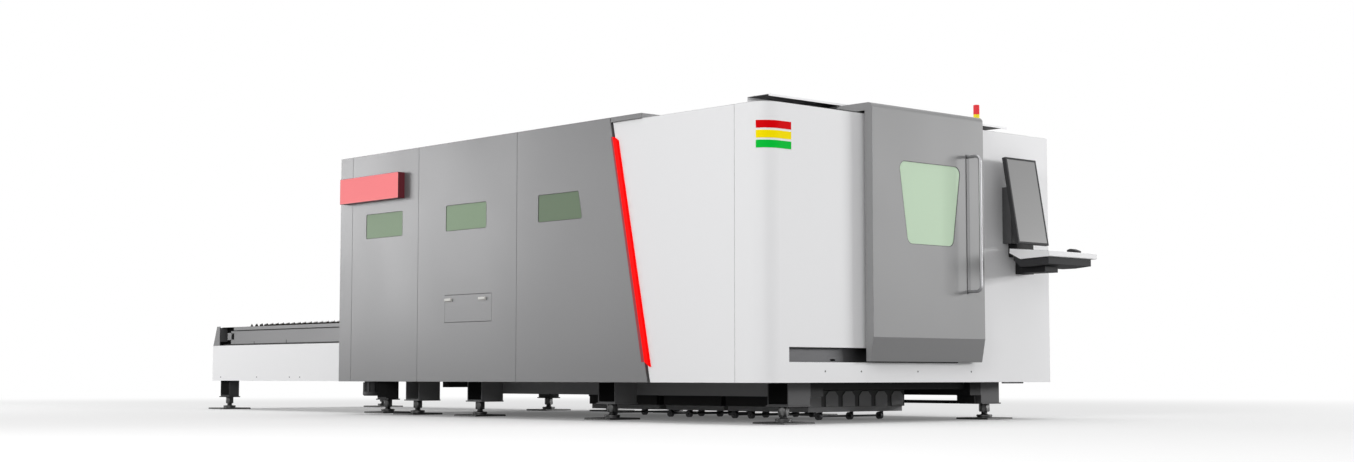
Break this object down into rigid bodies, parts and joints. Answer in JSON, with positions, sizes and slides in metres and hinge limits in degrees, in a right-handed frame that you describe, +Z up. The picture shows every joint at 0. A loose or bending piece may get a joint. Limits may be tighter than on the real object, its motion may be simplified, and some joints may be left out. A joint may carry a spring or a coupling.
{
  "type": "fiber laser cutting machine",
  "caption": "Enclosed fiber laser cutter with sliding front door, gantry and head inside, slag carts below, tilting monitor, and a rear exchange table with two pallets.",
  "frame": {"origin": "middle of the whole machine's bounding box, on the floor under the floor plates", "axes": "+Z up, +Y back towards the exchange table, +X right along the front wall"},
  "size_m": [3.392, 9.365, 2.58],
  "materials": {
    "white_paint": "satin powder coat",
    "grey_paint": "satin powder coat",
    "door_paint": "satin powder coat",
    "frame_paint": "matt machine paint",
    "cart_paint": "matt machine paint",
    "steel": "bare",
    "slat_steel": "bare, oxidised",
    "chrome": "polished",
    "window": "tinted laser glass",
    "light_red": "lit lens",
    "bands": "coloured bands",
    "sign_red": "translucent",
    "tower": "stacked lenses",
    "black_plastic": "fine grain",
    "screen": "display",
    "tray_dark": "satin"
  },
  "bodies": {
    "machine": {"bed_frame": "frame_paint", "levelling_screws": "steel", "floor_plates": "steel", "gantry_guide_rails": "steel", "pallet_ledges": "steel", "slag_chutes": "frame_paint", "front_wall": "white_paint", "status_bands": "bands", "white_panel_left": "white_paint", "grey_panel_front_left": "grey_paint", "grey_panel_middle_left": "grey_paint", "grey_panel_rear_left": "grey_paint", "light_channel": "frame_paint", "light_strip": "light_red", "side_windows": "window", "sign_case": "frame_paint", "sign_face": "sign_red", "white_panel_right": "white_paint", "grey_panels_right": "grey_paint", "rear_wall": "grey_paint", "roof_front": "white_paint", "roof_cap": "grey_paint", "door_tracks": "steel", "track_cover": "white_paint", "signal_tower": "tower", "console_column": "tray_dark", "tray_top": "white_paint", "tray_body": "tray_dark", "mouse": "black_plastic", "table_frame": "frame_paint", "table_skirts": "white_paint", "table_side_rails": "grey_paint", "table_end": "frame_paint", "exchange_motor": "frame_paint", "drive_chains": "steel"},
    "door": {"door_shell": "door_paint", "door_window": "window", "door_handle": "chrome"},
    "door_roller_left": {"door_roller_left": "steel"},
    "door_roller_right": {"door_roller_right": "steel"},
    "hatch": {"hatch_flap": "grey_paint", "hatch_grips": "white_paint"},
    "gate": {"exchange_gate": "steel"},
    "gantry": {"gantry_beam": "frame_paint"},
    "carriage": {"cross_carriage": "steel"},
    "head": {"cutting_head": "steel"},
    "upper_pallet": {"upper_pallet": "slat_steel"},
    "lower_pallet": {"lower_pallet": "slat_steel"},
    "drive_shaft": {"drive_shaft": "steel"},
    "idler_shaft": {"idler_shaft": "steel"},
    "carts": {"slag_carts": "cart_paint"},
    "monitor": {"monitor_case": "black_plastic", "monitor_screen": "screen"},
    "cart_axle_1": {"cart_axle_1": "steel"},
    "cart_axle_2": {"cart_axle_2": "steel"},
    "cart_axle_3": {"cart_axle_3": "steel"},
    "cart_axle_4": {"cart_axle_4": "steel"},
    "cart_axle_5": {"cart_axle_5": "steel"},
    "cart_axle_6": {"cart_axle_6": "steel"}
  },
  "joints": [
    {"name": "door_slide", "type": "slide", "parent": "machine", "child": "door", "axis": [-1, 0, 0], "range_m": [0, 0.88]},
    {"name": "door_roller_left_spin", "type": "hinge", "parent": "door", "child": "door_roller_left", "pos_m": [-0.361, -3.8025, 2.3433], "axis": [0, -1, 0], "continuous": true},
    {"name": "door_roller_right_spin", "type": "hinge", "parent": "door", "child": "door_roller_right", "pos_m": [0.501, -3.8025, 2.3433], "axis": [0, -1, 0], "continuous": true},
    {"name": "hatch_hinge", "type": "hinge", "parent": "machine", "child": "hatch", "pos_m": [-1.6215, -0.7, 0.809], "axis": [0, -1, 0], "range_deg": [0, 90]},
    {"name": "gate_slide", "type": "slide", "parent": "machine", "child": "gate", "axis": [0, 0, -1], "range_m": [0, 0.56]},
    {"name": "gantry_slide", "type": "slide", "parent": "machine", "child": "gantry", "axis": [0, 1, 0], "range_m": [-1.515, 1.515]},
    {"name": "carriage_slide", "type": "slide", "parent": "gantry", "child": "carriage", "axis": [1, 0, 0], "range_m": [-0.75, 0.75]},
    {"name": "head_slide", "type": "slide", "parent": "carriage", "child": "head", "axis": [0, 0, 1], "range_m": [-0.075, 0.045]},
    {"name": "upper_pallet_slide", "type": "slide", "parent": "machine", "child": "upper_pallet", "axis": [0, -1, 0], "range_m": [0, 3.46]},
    {"name": "lower_pallet_slide", "type": "slide", "parent": "machine", "child": "lower_pallet", "axis": [0, 1, 0], "range_m": [0, 3.46]},
    {"name": "drive_shaft_spin", "type": "hinge", "parent": "machine", "child": "drive_shaft", "pos_m": [0.034, 1.7975, 0.722], "axis": [1, 0, 0], "continuous": true},
    {"name": "idler_shaft_spin", "type": "hinge", "parent": "machine", "child": "idler_shaft", "pos_m": [0.034, 4.4575, 0.722], "axis": [1, 0, 0], "continuous": true},
    {"name": "cart_slide", "type": "slide", "parent": "machine", "child": "carts", "axis": [0, -1, 0], "range_m": [0, 2]},
    {"name": "cart_axle_1_spin", "type": "hinge", "parent": "carts", "child": "cart_axle_1", "pos_m": [0.269, -3.2805, 0.0303], "axis": [1, 0, 0], "continuous": true},
    {"name": "cart_axle_2_spin", "type": "hinge", "parent": "carts", "child": "cart_axle_2", "pos_m": [0.269, -2.5245, 0.0303], "axis": [1, 0, 0], "continuous": true},
    {"name": "cart_axle_3_spin", "type": "hinge", "parent": "carts", "child": "cart_axle_3", "pos_m": [0.269, -2.3305, 0.0303], "axis": [1, 0, 0], "continuous": true},
    {"name": "cart_axle_4_spin", "type": "hinge", "parent": "carts", "child": "cart_axle_4", "pos_m": [0.269, -1.7745, 0.0303], "axis": [1, 0, 0], "continuous": true},
    {"name": "cart_axle_5_spin", "type": "hinge", "parent": "carts", "child": "cart_axle_5", "pos_m": [0.269, -1.5405, 0.0303], "axis": [1, 0, 0], "continuous": true},
    {"name": "cart_axle_6_spin", "type": "hinge", "parent": "carts", "child": "cart_axle_6", "pos_m": [0.269, -0.7945, 0.0303], "axis": [1, 0, 0], "continuous": true},
    {"name": "monitor_tilt", "type": "hinge", "parent": "machine", "child": "monitor", "pos_m": [1.1665, -4.3305, 1.63], "axis": [1, 0, 0], "range_deg": [-5, 9.8]}
  ],
  "couplings": [
    {"joint": "door_roller_left_spin", "follows": "door_slide", "rad_per_m": 45.455},
    {"joint": "door_roller_right_spin", "follows": "door_slide", "rad_per_m": 45.455},
    {"joint": "lower_pallet_slide", "follows": "upper_pallet_slide", "ratio": 1},
    {"joint": "drive_shaft_spin", "follows": "upper_pallet_slide", "rad_per_m": 39.526},
    {"joint": "idler_shaft_spin", "follows": "upper_pallet_slide", "rad_per_m": 39.526},
    {"joint": "cart_axle_1_spin", "follows": "cart_slide", "rad_per_m": 33.333},
    {"joint": "cart_axle_2_spin", "follows": "cart_slide", "rad_per_m": 33.333},
    {"joint": "cart_axle_3_spin", "follows": "cart_slide", "rad_per_m": 33.333},
    {"joint": "cart_axle_4_spin", "follows": "cart_slide", "rad_per_m": 33.333},
    {"joint": "cart_axle_5_spin", "follows": "cart_slide", "rad_per_m": 33.333},
    {"joint": "cart_axle_6_spin", "follows": "cart_slide", "rad_per_m": 33.333}
  ]
}
